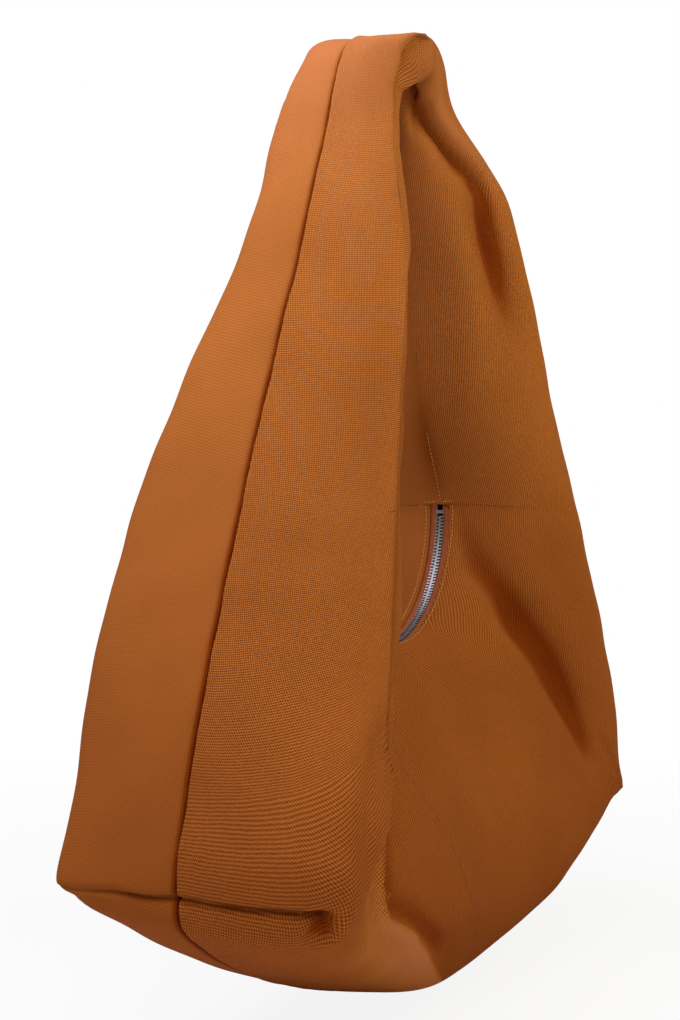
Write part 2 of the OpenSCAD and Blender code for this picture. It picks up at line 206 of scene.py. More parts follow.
class Shader:
    """One material, its Principled shader, and the one way that any node is added to it."""

    def __init__(self, name, **constants):
        self.material = bpy.data.materials.new(name)
        self.material.use_nodes = True
        self.tree = self.material.node_tree
        self.principled = self.tree.nodes["Principled BSDF"]
        for socket, value in constants.items():
            self.principled.inputs[socket.replace("_", " ")].default_value = value

    def node(self, kind, settings, inputs):
        """A node of a kind. Its settings are set first, then its sockets get values or links."""
        made = self.tree.nodes.new(kind)
        for key, value in settings.items():
            setattr(made, key, value)
        for key, value in inputs.items():
            self.feed(made.inputs[key], value)
        return made

    def feed(self, socket, value):
        if isinstance(value, Value):
            value = value.socket
        if isinstance(value, bpy.types.NodeSocket):
            self.tree.links.new(value, socket)
        else:
            socket.default_value = value

    def set(self, name, value):
        self.feed(self.principled.inputs[name], value)

    def uv(self):
        """The cloth's own flat coordinates, in mm."""
        made = self.node("ShaderNodeUVMap", {"uv_map": "cloth"}, {})
        parts = self.node("ShaderNodeSeparateXYZ", {}, {0: made.outputs[0]})
        return Value(self, parts.outputs[0]) * 1000.0, Value(self, parts.outputs[1]) * 1000.0

    def place(self):
        """Object coordinates, in metres."""
        return self.node("ShaderNodeTexCoord", {}, {}).outputs["Object"]

    def noise(self, scale, detail, roughness):
        """Soft noise over the object's place, at so many waves to the metre."""
        made = self.node("ShaderNodeTexNoise", {"noise_dimensions": "3D"},
                         {"Vector": self.place(), "Scale": scale, "Detail": detail,
                          "Roughness": roughness})
        return Value(self, made.outputs[0])

    def mix(self, factor, a, b):
        """A colour between two, or from a to b as the factor goes from 0 to 1."""
        made = self.node("ShaderNodeMix", {"data_type": "RGBA"}, {0: factor})
        for key, value in ((6, a), (7, b)):
            if isinstance(value, tuple):
                value = (*value, 1)
            self.feed(made.inputs[key], value)
        return made.outputs[2]

    def tinted(self, colour, factor, a, b):
        """A colour times a tint that goes from a to b."""
        return self.node("ShaderNodeMix", {"data_type": "RGBA", "blend_type": "MULTIPLY"},
                         {0: 1.0, 6: colour, 7: self.mix(factor, a, b)}).outputs[2]

    def value(self, name):
        """A number stored at each point of the mesh."""
        made = self.node("ShaderNodeAttribute", {"attribute_name": name}, {})
        return Value(self, made.outputs["Fac"])

    def bump(self, height, depth):
        """Dents of a depth in metres where the height goes from 1 to 0."""
        made = self.node("ShaderNodeBump", {},
                         {"Strength": 1.0, "Distance": depth, "Height": height})
        self.set("Normal", made.outputs[0])


def dress(obj, shader):
    """Puts one material on an object."""
    obj.data.materials.clear()
    obj.data.materials.append(shader.material)


print("shader sockets take expressions")

# %% [markdown]
# The skin is a tube bent round the arm loop. A station is a cut across the tube in the plane
# through the loop seam and the outer seam: it says where the two seams are, how far the front
# and the back stand out, how far along the cut they do so, and how square the corners are.
# A smooth curve runs through the stations, so few numbers make the shape.

# %% The stations of the tube
LOOP_R = 95.0
LOOP_DROP = 300.0
SEAM_FLAT = 10.0
FLAT_SHARE = 0.08


def on_loop(degrees):
    """A point on the round bottom of the arm loop."""
    t = np.radians(degrees)
    return (LOOP_R * np.cos(t), -LOOP_DROP - LOOP_R * np.sin(t))


# loop seam x, z; outer seam x, z; front reach, place; back reach, place; squareness in, out
HALF = np.array([
    (0, 0,         0, 30,      38, 0.50, 43, 0.50, 2.4, 4.2),
    (8, -24,       62, 16,     30, 0.65, 45, 0.60, 2.2, 3.4),
    (17, -60,      90, -44,    44, 0.80, 47, 0.72, 2.0, 2.8),
    (36, -130,     128, -130,  66, 0.78, 56, 0.76, 1.9, 3.0),
    (63, -230,     176, -232,  74, 0.70, 80, 0.75, 1.9, 3.2),
    (*on_loop(0),  210, -310,  83, 0.64, 90, 0.78, 1.8, 3.2),
    (*on_loop(25), 252, -418,  92, 0.70, 93, 0.82, 1.7, 3.4),
    (*on_loop(45), 277, -517,  97, 0.80, 88, 0.86, 1.6, 5.0),
    (*on_loop(60), 246, -557,  92, 0.86, 76, 0.80, 1.6, 3.2),
    (*on_loop(75), 130, -607,  93, 0.74, 78, 0.74, 1.5, 2.2),
    (*on_loop(90), 0, -636,    90, 0.68, 80, 0.68, 1.5, 2.1),
])
MIRROR = np.array([-1, 1, -1, 1, 1, 1, 1, 1, 1, 1])
STATIONS = np.vstack([HALF, HALF[-2:0:-1] * MIRROR])
TURNS = len(STATIONS)


def through(p, q, r, s, t):
    """A Catmull-Rom curve: the point a share t of the way from q to r, with neighbours p and s."""
    return 0.5 * (2 * q + (r - p) * t + (2 * p - 5 * q + 4 * r - s) * t**2
                  + (3 * q - p - 3 * r + s) * t**3)


def cut(a):
    """The station at any place along the tube, on a curve through its four neighbours."""
    k = np.floor(a).astype(int)
    t = (a - k)[..., None]
    return through(*(STATIONS[(k + step) % TURNS] for step in (-1, 0, 1, 2)), t)


# the near leg's flat front strip: from and to which station, how softly, its squareness, and by
# how much of the cut its fold stands nearer to the loop
STRIP_FROM, STRIP_TO, STRIP_FADE = 13.6, 19.1, 0.2
STRIP_SQUARE, STRIP_SHIFT = 1.5, -0.14
# the middle of each broad hollow, its reach in stations and in places, and its depth in mm
HOLLOWS = [
    (13.55, -0.375, 0.45, 0.085, 6),
    (12.8, -0.365, 0.45, 0.085, 8),
    (12.05, -0.375, 0.45, 0.085, 6),
    (6.45, 0.375, 0.45, 0.085, -6),
    (7.2, 0.365, 0.45, 0.085, -8),
    (7.95, 0.375, 0.45, 0.085, -6),
    (5.9, -0.18, 0.4, 0.06, 4),
    (6.6, -0.275, 0.4, 0.06, 5),
    (7.2, -0.38, 0.4, 0.07, 5),
]


def bell(distance, width):
    """exp(-(d/w)^2): 1 in the middle, and next to nothing at twice the width."""
    return np.exp(-((distance / width) ** 2))


def rising(distance, fade):
    """1/(1 + exp(-d/f)): 0 well below a limit, 1 well above it."""
    return 1 / (1 + np.exp(-distance / fade))


def wrapped(c):
    """The same place across the tube as a number from -1 to 1."""
    return c - 2 * np.floor((c + 1) / 2)


def fading(a, c, a0, c0, reach_a, reach_c):
    """A bell both ways round a middle, with both distances taken the short way."""
    da = (a - a0 + TURNS / 2) % TURNS - TURNS / 2
    dc = (c - c0 + 1) % 2 - 1
    return bell(da, reach_a) * bell(dc, reach_c)


def near_strip(a):
    """1 along the near leg's front, where the cloth hangs flat from the seam to a sharp fold."""
    a = a % TURNS
    return rising(a - STRIP_FROM, STRIP_FADE) * rising(STRIP_TO - a, STRIP_FADE)


def skin(a, c):
    """Points of the canvas face. a runs along the tube, c across it: 0 is the loop seam, 1 the
    outer seam, negative the front. Each quarter of a cut is a rounded square, |u|^n + |v|^n = 1,
    after a flat strip beside the loop seam, which lies on an exact circle below the middle."""
    s = cut(a)
    c = wrapped(c)
    front = c < 0
    b = np.abs(c)
    x, z = s[..., 0], s[..., 1]
    dz = z + LOOP_DROP
    pull = np.where(dz <= 0, LOOP_R / np.maximum(np.hypot(x, dz), 1), 1)
    x, z = x * pull, dz * pull - LOOP_DROP
    reach = np.where(front, s[..., 4], s[..., 6])
    hanging = near_strip(a) * front
    ridge = np.where(front, s[..., 5], s[..., 7]) + hanging * STRIP_SHIFT
    angle = np.pi * np.maximum(0, (b - FLAT_SHARE) / (1 - FLAT_SHARE))
    inner = angle < np.pi / 2
    n = np.where(inner, s[..., 8], s[..., 9])
    n = n + (STRIP_SQUARE - n) * hanging
    u, v = np.abs(np.cos(angle)), np.abs(np.sin(angle))
    rim = (u**n + v**n) ** (1 / n)
    u, v = u / rim, v / rim
    beside_seam = SEAM_FLAT * np.minimum(1, b / FLAT_SHARE) + (reach - SEAM_FLAT) * v
    y = np.where(inner, beside_seam, reach * v)
    y = np.where(front, -y, y) + sum(depth * fading(a, c, *spot) for *spot, depth in HOLLOWS)
    m = np.where(inner, ridge * (1 - u), ridge + (1 - ridge) * u)
    return np.stack([x + m * (s[..., 2] - x), y, z + m * (s[..., 3] - z)], -1)


print("stations:", TURNS)

# %% [markdown]
# A real bag is never quite even: the near leg is turned a little, the far leg narrows under the
# strap's top, and the corners of the base are drawn out. Moving single points by hand would
# leave dents, so each move below is a soft push that fades away round its middle.

# %% Soft pushes that make the bag slouch
# station, place, how far it reaches in stations and in places, and the move in mm
PUSHES = [
    (2.3, -0.60, 0.42, 0.25, (3, -7, 0)),       # far leg bulges below its roll
    (1.25, -0.60, 0.45, 0.25, (-3, 6, 0)),      # and is slim above it
    (18.2, -0.62, 0.9, 0.25, (0, 7, 0)),        # near leg's front edge stands back
    (16.9, -0.55, 0.9, 0.20, (0, 5, 0)),
    (19.95, -0.60, 0.4, 0.16, (0, 2, 10)),      # lip at the top of the strap
    (0, 0.70, 0.8, 0.20, (0, 3, 3)),
    (18.05, 0.66, 0.5, 0.20, (0, 5, 0)),
    (18.95, 0.66, 0.3, 0.20, (0, -4, 0)),
    (13.02, 0.72, 0.16, 0.16, (-5, 3, -9)),     # near back ear
    (13.45, 0.70, 0.3, 0.20, (3, -2, 0)),
    (12.3, 0.80, 0.45, 0.25, (0, 0, 3)),
    (19.9, 0.80, 0.5, 0.12, (0, 0, 4)),         # top of the strap
    (19.65, -0.68, 0.25, 0.10, (0, 0, 5)),
    (19.4, -0.42, 0.30, 0.12, (0, 4, 2)),       # hollow under the lip
    (19.1, -0.60, 0.40, 0.10, (0, -4, 0)),
    (12.8, -0.45, 0.6, 0.08, (0, -4, 0)),       # near front edge above the base
    (12.9, -0.48, 0.5, 0.06, (0, -6, 0)),
    (10.4, -0.79, 0.35, 0.10, (2, -3, -6)),     # lowest corner of the base
    (6.9, -0.68, 0.45, 0.25, (-4, 3, -2)),      # far front ear
    (7.4, -0.64, 0.2, 0.14, (3, -3, -4)),
    (9.1, -0.68, 0.5, 0.22, (3, -4, -4)),
    (10.3, -0.80, 0.5, 0.30, (-3, 0, 3)),
]


def slouched(a, c):
    """The skin after the pushes, each weighted by how near it is."""
    moved = skin(a, c)
    for *spot, move in PUSHES:
        moved = moved + fading(a, c, *spot)[..., None] * np.array(move, dtype=float)
    return moved


def outward(a, c, da=0.02, dc=0.004):
    """The direction out of the bag, from differences along and across the tube."""
    across = slouched(a, c + dc) - slouched(a, c - dc)
    along = slouched(a + da, c) - slouched(a - da, c)
    cross = np.cross(across, along)
    return cross / np.linalg.norm(cross, axis=-1, keepdims=True)


print("pushes:", len(PUSHES))

# %% [markdown]
# Threads run straight on cloth that lies flat, so the weave and every fold are placed on the
# flat cut: the strip of cloth across one station is rolled out from the loop seam in the
# direction of the outer seam. A table of those flat places is filled once and read between.

# %% The flat cut of the cloth
TABLE_A = np.linspace(0, TURNS, 801)
TABLE_C = np.linspace(0, 1, 161)
JUST_INSIDE = 0.001


def flat_table(side):
    """Flat x, flat z and length from the loop seam, over stations and places of one side."""
    a, c = np.meshgrid(TABLE_A, TABLE_C, indexing="ij")
    steps = np.linalg.norm(np.diff(slouched(a, side * c), axis=1), axis=-1)
    length = np.concatenate([np.zeros((len(TABLE_A), 1)), np.cumsum(steps, axis=1)], axis=1)
    s = cut(TABLE_A)
    across = s[:, 2:4] - s[:, 0:2]
    across = across / np.linalg.norm(across, axis=1, keepdims=True)
    flat = s[:, None, 0:2] + across[:, None, :] * length[..., None]
    return np.concatenate([flat, length[..., None]], axis=-1)


FLAT = {side: flat_table(side) for side in (-1, 1)}


def read_table(table, a, c):
    """A value between four entries of a table, weighted by nearness."""
    last_i, last_j = len(TABLE_A) - 1, len(TABLE_C) - 1
    i = np.clip((a % TURNS) / TURNS * last_i, 0, last_i - JUST_INSIDE)
    j = np.clip(c * last_j, 0, last_j - JUST_INSIDE)
    i0, j0 = i.astype(int), j.astype(int)
    p, q = (i - i0)[..., None], (j - j0)[..., None]
    low = table[i0, j0] * (1 - q) + table[i0, j0 + 1] * q
    high = table[i0 + 1, j0] * (1 - q) + table[i0 + 1, j0 + 1] * q
    return low * (1 - p) + high * p


def flat(a, c):
    """Flat x, flat z, and the lengths of cloth to the loop seam and to the outer seam."""
    back = wrapped(c)[..., None] >= 0
    here, edge = (np.where(back, read_table(FLAT[1], a, b), read_table(FLAT[-1], a, b))
                  for b in (np.abs(wrapped(c)), np.ones_like(c)))
    return here[..., 0], here[..., 1], here[..., 2], edge[..., 2] - here[..., 2]


print("most cloth across one station: %.0f mm in front, %.0f mm at the back"
      % (FLAT[-1][..., 2].max(), FLAT[1][..., 2].max()))

# %% [markdown]
# Folds are drawn as lines on the cloth, the way a pattern maker would chalk them. A soft fold
# is a rounded groove or ridge. A step drops sharply on one side of its line and rises slowly
# again, as where cloth turns over and lies on itself. An edge is a pressed crest that keeps its
# place while both sides fall away. Heights are given at each point of the line, so a fold can
# die out.

# %% Folds, steps and edges
# side, kind, width in mm, and points of station, place and height in mm
FOLDS = [
    # the roll across the far leg, from the top of the loop to its front edge
    (-1, "step", 22, [(19.1, -0.45, 0), (19.45, -0.28, 5), (20.1, -0.18, 9), (20.64, -0.27, 12),
        (21.04, -0.395, 13), (21.39, -0.44, 13), (21.61, -0.445, 13), (21.79, -0.46, 13),
        (21.95, -0.485, 11), (22.1, -0.50, 8), (22.3, -0.48, 4), (22.6, -0.43, 0)]),
    (-1, "soft", 4, [(19.45, -0.27, 0), (20.1, -0.165, -3), (20.64, -0.25, -4),
        (21.04, -0.375, -4), (21.39, -0.42, -5), (21.61, -0.425, -5), (21.79, -0.44, -4),
        (21.95, -0.465, -3), (22.2, -0.47, 0)]),
    (-1, "soft", 17, [(2.0, -0.44, 0), (2.33, -0.434, -8), (2.6, -0.407, -10), (2.9, -0.396, -9),
        (3.2, -0.40, -6), (3.45, -0.43, -3), (3.8, -0.46, 0)]),
    (-1, "soft", 17, [(2.2, -0.23, 0), (2.78, -0.24, 5), (3.2, -0.26, 5), (3.87, -0.19, 3),
        (4.4, -0.16, 0)]),
    # the broad fold that falls from the zip towards the far end
    (-1, "soft", 19, [(4.4, -0.05, 0), (4.9, -0.08, -4), (5.83, -0.18, -7), (6.57, -0.285, -9),
        (7.0, -0.385, -9), (7.6, -0.46, -7), (7.9, -0.52, 0)]),
    # the shallow valley behind the near front edge, where the belly hangs back
    (-1, "soft", 17, [(13.6, -0.36, 0), (13.0, -0.33, -2), (12.4, -0.32, -3), (11.8, -0.36, -2),
        (11.3, -0.43, -1), (10.9, -0.53, 0)]),
    # the lip of the strap's top and that edge, down to the lowest corner of the base
    (-1, "step", 22, [(19.96, -0.655, 0), (19.7, -0.68, -6), (19.49, -0.68, -8), (19.3, -0.66, -9),
        (19.05, -0.56, -10), (18.52, -0.52, -9), (18.18, -0.48, -8), (17.93, -0.45, -6),
        (17.43, -0.44, -5), (17.0, -0.48, -4), (16.77, -0.52, -3), (16.0, -0.555, -3),
        (15.16, -0.57, -3), (14.41, -0.57, -3), (13.73, -0.54, -4), (13.4, -0.50, -4),
        (13.0, -0.456, -4), (12.6, -0.44, -3), (12.2, -0.45, -2), (11.92, -0.50, -1),
        (11.41, -0.593, -1), (10.85, -0.714, -1), (10.43, -0.78, 0)]),
    (-1, "edge", 8, [(18.5, -0.53, 0), (17.93, -0.46, 4), (17.43, -0.45, 5), (16.77, -0.525, 5),
        (16.0, -0.56, 5), (15.16, -0.575, 5), (14.41, -0.575, 5), (13.73, -0.545, 5),
        (13.4, -0.505, 5), (13.0, -0.46, 6), (12.6, -0.445, 6), (12.2, -0.455, 7),
        (11.92, -0.505, 9), (11.66, -0.545, 9), (11.41, -0.598, 9), (11.2, -0.655, 9),
        (10.85, -0.715, 8), (10.43, -0.785, 0)]),
    # boxed corners: the crease, the swell above it, and the dimple that it curls into in front
    (-1, "step", 8, [(12.98, -1.0, 2), (12.96, -0.9, 2), (12.95, -0.82, 2.5), (12.86, -0.755, 5),
        (12.66, -0.715, 7), (12.42, -0.71, 6), (12.25, -0.73, 0)]),
    (-1, "soft", 2, [(12.97, -1.0, -4), (12.94, -0.9, -4.5), (12.93, -0.82, -4.5),
        (12.84, -0.76, -5), (12.66, -0.725, 0)]),
    (-1, "soft", 16, [(13.2, -1.0, 2), (13.22, -0.9, 3.5), (13.2, -0.8, 4), (13.0, -0.69, 5),
        (12.7, -0.64, 5), (12.4, -0.66, 3), (12.2, -0.72, 0)]),
    (-1, "soft", 11, [(12.85, -0.79, 0), (12.72, -0.765, -8), (12.55, -0.755, -8),
        (12.3, -0.78, 0)]),
    (1, "step", 8, [(12.9, 0.70, 0), (13.03, 0.76, -2), (13.03, 0.845, -2.5), (12.98, 0.92, -2),
        (12.98, 1.0, -2)]),
    (1, "soft", 2, [(12.98, 0.74, 0), (13.02, 0.80, -1), (13.02, 0.86, -3), (12.96, 0.92, -4),
        (12.97, 1.0, -4)]),
    (-1, "step", 15, [(7.01, -1.0, -7), (7.0, -0.9, -8), (7.03, -0.82, -8), (7.1, -0.76, -7),
        (7.2, -0.70, 0)]),
    (-1, "soft", 3, [(7.01, -1.0, -2), (7.0, -0.9, -3), (7.03, -0.82, -3), (7.1, -0.76, -4),
        (7.2, -0.70, 0)]),
    (1, "step", 15, [(7.16, 0.735, 0), (7.07, 0.76, 7), (7.03, 0.845, 8), (7.02, 0.92, 7),
        (7.01, 1.0, 7)]),
    (1, "soft", 3, [(7.16, 0.735, 0), (7.07, 0.76, -4), (7.03, 0.845, -3), (7.01, 1.0, -2)]),
    # small creases: at the far front ear, and a pale upright one on the belly
    (-1, "soft", 4, [(7.2, -0.48, 0), (7.29, -0.52, -3.5), (7.39, -0.62, -3), (7.45, -0.68, 0)]),
    (-1, "soft", 6, [(10.9, -0.33, 0), (10.6, -0.40, 1.5), (10.45, -0.46, 1.5), (10.3, -0.52, 0)]),
    # the back hangs the same way
    (1, "soft", 16, [(15.6, 0.10, 0), (14.4, 0.20, -5), (13.6, 0.30, -7), (12.9, 0.40, -5),
        (12.5, 0.48, 0)]),
    (1, "soft", 15, [(5.4, 0.43, 0), (6.0, 0.41, -4), (6.6, 0.40, -5), (7.4, 0.38, -6),
        (8.2, 0.42, -6), (8.9, 0.52, -5), (9.6, 0.70, 0)]),
    (1, "edge", 8, [(2.8, 0.50, 0), (4.0, 0.51, 4), (5.4, 0.50, 4), (6.4, 0.48, 5), (7.4, 0.46, 5),
        (8.2, 0.51, 5), (9.0, 0.64, 4), (9.7, 0.80, 0)]),
    (1, "step", 26, [(18.0, 0.52, 0), (18.2, 0.45, -6), (18.9, 0.34, -9), (19.4, 0.22, -8),
        (19.8, 0.13, 0)]),
]
STEP_WIDTH, STEP_SLOPE = 1.0, 0.22
EDGE_SPREAD = 3.2
CURVE_STEPS = 8
# how many widths away from its line a fold is still worked out, and how many stations
FOLD_ROOM, FOLD_STATIONS = 2.6, 2


def smooth_line(points, n):
    """A Catmull-Rom curve through points, with n steps between each two."""
    p = np.array(points, dtype=float)
    p = np.vstack([2 * p[0] - p[1], p, 2 * p[-1] - p[-2]])
    t = (np.arange(n) / n)[None, :, None]
    curve = through(*(p[k:len(p) - 3 + k, None, :] for k in range(4)), t)
    return np.vstack([curve.reshape(-1, p.shape[1]), p[-2]])


def to_line(x, y, line_x, line_y):
    """For each point, the distance to the nearest piece of a line, signed by its side, and how
    far along the line that is, in pieces."""
    p = np.stack([line_x, line_y], -1)
    start, step = p[:-1], np.diff(p, axis=0)
    rel = np.stack([x, y], -1)[:, None, :] - start
    t = np.clip((rel * step).sum(-1) / (step**2).sum(-1), 0, 1)
    away = rel - t[..., None] * step
    far = np.linalg.norm(away, axis=-1)
    k = far.argmin(1)
    row = np.arange(len(k))
    side = np.sign(step[k, 0] * rel[row, k, 1] - step[k, 1] * rel[row, k, 0])
    return far[row, k] * side, k + t[row, k]


def fold_height(side, kind, width, points, a, c, x, z):
    """The height of one fold at the distance d from its line, for a height h and a width w.
    Soft: h exp(-(d/w)^2). Step: (h tanh(d/s) - |h|)/2 exp(-(d/w)^2), with s = 1 + 0.22 |h|.
    Edge: -h (1 - exp(-r/w)) exp(-(d/3.2w)^2), with r the root of d^2 + 1."""
    height = np.zeros(a.shape)
    curve = smooth_line(points, CURVE_STEPS)
    line_x, line_z = flat(curve[:, 0], curve[:, 1])[:2]
    room = FOLD_ROOM * width * (EDGE_SPREAD if kind == "edge" else 1)
    first, last = curve[:, 0].min() - FOLD_STATIONS, curve[:, 0].max() + FOLD_STATIONS
    near = (np.sign(c) == side) & ((a - first) % TURNS < last - first)
    for here, line in ((x, line_x), (z, line_z)):
        near &= (here > line.min() - room) & (here < line.max() + room)
    if near.any():
        d, at = to_line(x[near], z[near], line_x, line_z)
        h = np.interp(at, np.arange(len(curve)), curve[:, 2])
        if kind == "soft":
            height[near] = h * bell(d, width)
        elif kind == "step":
            drop = STEP_WIDTH + STEP_SLOPE * np.abs(h)
            height[near] = (h * np.tanh(d / drop) - np.abs(h)) / 2 * bell(d, width)
        else:
            crest = 1 - np.exp(-np.sqrt(d * d + 1) / width)
            height[near] = -h * crest * bell(d, EDGE_SPREAD * width)
    return height


# %% [markdown]
# Where the halves are sewn, the front's turned edge stands proud and the back dips down to it, so
# the side seam reads as a dark line beside a bright edge; shade is also painted into that ditch in
# the canvas's colour. The seam is pulled a little unevenly, and it lies flatter along the base. On
# the legs both sides dip to the loop seam, with a low ridge beside it. Beside the zip the cloth
# lies flat as far as its stitches. Long soft waves keep the rest from looking machined.

# %% Relief of the cloth
# height in mm and width in mm, beside the outer seam
FRONT_EDGE, BACK_DITCH, BACK_SLOPE = (1.2, 4), (-2.6, 2.6), (-1.4, 8)
# height, distance from the loop seam and width, all in mm
LEG_RIDGE, LEG_DIP, WINDOW_RIDGE = (0.9, 9, 5), (-1.3, 0, 2.5), (0.6, 14, 3)
# the base's share of that relief, its half length in stations and how softly it ends
BASE_SHARE, BASE_HALF, BASE_FADE = 0.4, 3.05, 0.12
# how much a pucker adds, its waves to the station, and where it starts
PUCKERS = ((0.18, 19, 0), (0.12, 43, 1))
WAVE_HEIGHT, WAVE_CALM, FOLD_CALM = 0.5, 14, 16
WAVES = np.random.default_rng(7)
WAVE_LENGTHS = WAVES.uniform(45, 110, 9)
WAVE_ANGLES = WAVES.uniform(0, np.pi, 9)
WAVE_STARTS = WAVES.uniform(0, 2 * np.pi, 9)
BOTTOM = TURNS / 2
WINDOW_START = 4.935
WINDOW_HALF = 7.8
WINDOW_REACH, WINDOW_FADE = 5.03, 0.02


def soft_waves(x, z):
    """A sum of plain sine waves of several lengths and directions, about 1 high."""
    total = np.zeros(x.shape)
    for length, angle, start in zip(WAVE_LENGTHS, WAVE_ANGLES, WAVE_STARTS):
        total += np.sin(2 * np.pi * (x * np.cos(angle) + z * np.sin(angle)) / length + start)
    return total / 3


def in_window(a):
    """1 beside the zip and 0 on the legs, with a soft change over a few mm."""
    return rising(WINDOW_REACH - np.abs(a % TURNS - BOTTOM), WINDOW_FADE)


def folded(a, c):
    """The height of all folds together, in mm, fading out towards the loop seam."""
    a, c = a % TURNS, wrapped(c)
    x, z, from_loop = flat(a, c)[:3]
    height = sum(fold_height(*fold, a, c, x, z) for fold in FOLDS)
    return height * np.minimum(1, from_loop / FOLD_CALM)


def ridges(distance, *rows):
    """The sum of h exp(-((d - m)/w)^2) over rows of height, middle and width."""
    return sum(height * bell(distance - middle, width) for height, middle, width in rows)


def relief(a, c):
    """How far the cloth stands above the plain skin, in mm."""
    a, c = a % TURNS, wrapped(c)
    x, z, from_loop, from_outer = flat(a, c)
    base = rising(BASE_HALF - np.abs(a - BOTTOM), BASE_FADE)
    pucker = 1 + sum(much * np.sin(a * often + start) for much, often, start in PUCKERS)
    seam = (1 - (1 - BASE_SHARE) * base) * pucker
    edge, ditch, slope = (h * bell(from_outer, w) for h, w in (FRONT_EDGE, BACK_DITCH, BACK_SLOPE))
    window = in_window(a)
    height = np.where(c < 0, edge, ditch + slope) * seam
    height += (1 - window) * ridges(from_loop, LEG_RIDGE, LEG_DIP)
    height += window * ridges(from_loop, WINDOW_RIDGE)
    calm = 1 - bell(from_loop, WAVE_CALM)
    return height + WAVE_HEIGHT * soft_waves(x, z) * calm + folded(a, c)


def cloth(a, c, depth=0.0):
    """Points of the real cloth, or of a layer that lies a depth under it."""
    return slouched(a, c) + (relief(a, c) - depth)[..., None] * outward(a, c)


print("folds:", len(FOLDS))

# %% [markdown]
# Light and shade are painted into the canvas's colour. A share at each point says how much it is
# painted paler or deeper: painted light grows with the height, as if lit from above; painted shade
# lies in folds deeper than 4 mm and in the seam's ditch; a few spots are painted lit or shaded; and
# one facet is painted lighter up to its crest.

# %% Painted light and shade
# painted light from above: the cloth is painted paler with height, from -150 mm over 650 mm
PAINTED_LIGHT_FROM_Z, PAINTED_LIGHT_OVER_Z = -150, 650
# painted shade in folds: none above a depth of 4 mm, full 6 mm deeper
FOLD_SHADE_FROM, FOLD_SHADE_SPAN = 4.0, 6.0
# painted shade in the side seam's ditch: its share and its width in mm
DITCH_SHADE_SHARE, DITCH_SHADE_WIDTH = 3, 3.4
# station, place, reach in stations and in places, and the share: painted light above 0, painted
# shade below 0
PAINTED_LIGHT_AND_SHADE_SPOTS = [
    (19.0, -0.85, 1.0, 0.30, 0.4),       # top of the strap
    (19.2, 0.85, 1.0, 0.30, 0.3),
    (2.8, -0.18, 0.7, 0.10, 0.05),       # inside of the far leg
    (9.9, -0.43, 1.2, 0.12, 0.1),        # belly
    (5.6, -0.42, 0.8, 0.15, -0.2),
    (2.7, -0.40, 0.6, 0.09, -0.8),       # shade under the roll
    (1.2, -0.50, 0.7, 0.07, 0.5),        # the roll
    (4.3, 0.0, 0.5, 0.08, -0.6),         # behind the near leg, beside the loop seam
]
# the facet beside the lowest corner, painted lighter up to its crest: side, kind, width and points
# as for a fold, with the share in place of the height
PAINTED_FACET_LIGHT = (-1, "step", 34, [(12.3, -0.45, 0), (11.92, -0.505, 0.6), (11.66, -0.545, 1.2),
        (11.41, -0.598, 1.5), (11.2, -0.655, 1.9), (10.85, -0.715, 1.9), (10.43, -0.785, 1.3),
        (10.2, -0.83, 0)])


def painted_light_and_shade(a, c):
    """Above 0 light is painted onto the cloth, below 0 shade: (z + 150) / 650, painted lighter
    towards the top, plus the painted spots and the painted light on the facet, less a sixth of what
    a fold is deeper than 4 mm as painted shade, less 3 in the side seam's ditch as painted shade."""
    a, c = a % TURNS, wrapped(c)
    x, z, _, from_outer = flat(a, c)
    # painted light: paler towards the top
    height = (slouched(a, c)[..., 2] - PAINTED_LIGHT_FROM_Z) / PAINTED_LIGHT_OVER_Z
    spots = sum(share * fading(a, c, *spot) for *spot, share in PAINTED_LIGHT_AND_SHADE_SPOTS)
    facet = -fold_height(*PAINTED_FACET_LIGHT, a, c, x, z)
    # painted shade in the deeper folds
    deep = np.clip((folded(a, c) + FOLD_SHADE_FROM) / FOLD_SHADE_SPAN, -1, 0)
    # painted shade in the side seam's ditch, on the back half
    ditch = np.where(c < 0, 0, DITCH_SHADE_SHARE * bell(from_outer, DITCH_SHADE_WIDTH))
    return height + spots + facet + deep - ditch


print("worn spots:", len(PAINTED_LIGHT_AND_SHADE_SPOTS))

# %% [markdown]
# The front and the back are each one cut of canvas. Rows follow the tube at even steps along
# the outer seam, closer together at the creased boxed corners, along the near leg and across the
# roll. Places crowd towards both seams, where the cloth bends most. Two rows fall exactly on
# each end of the zip window.

# %% Rows and places of the canvas
CANVAS_T = 1.5
ROWS = 448
PLACES = 160
CROWDING = 0.8
SEAM_GAP = 0.0008
OUTER_GAP = {-1: 0.0002, 1: 0.004}
WINDOW_STEP = 0.012
WINDOW_PLACE = FLAT_SHARE * WINDOW_HALF / SEAM_FLAT
# where rows lie closer together: the station, its reach, and by how much
CORNER_ROWS = ((7.0, 0.2, 1.8), (13.0, 0.2, 1.8))
ROLL_ROWS = (1.3, 0.9, 1.6)
NEAR_LEG_ROWS = 0.8
BESIDE_SEAM = 0.999


def crowded(n, amount):
    """Numbers from 0 to 1 that lie closer together at both ends."""
    t = np.linspace(0, 1, n)
    return t - amount * np.sin(2 * np.pi * t) / (2 * np.pi)


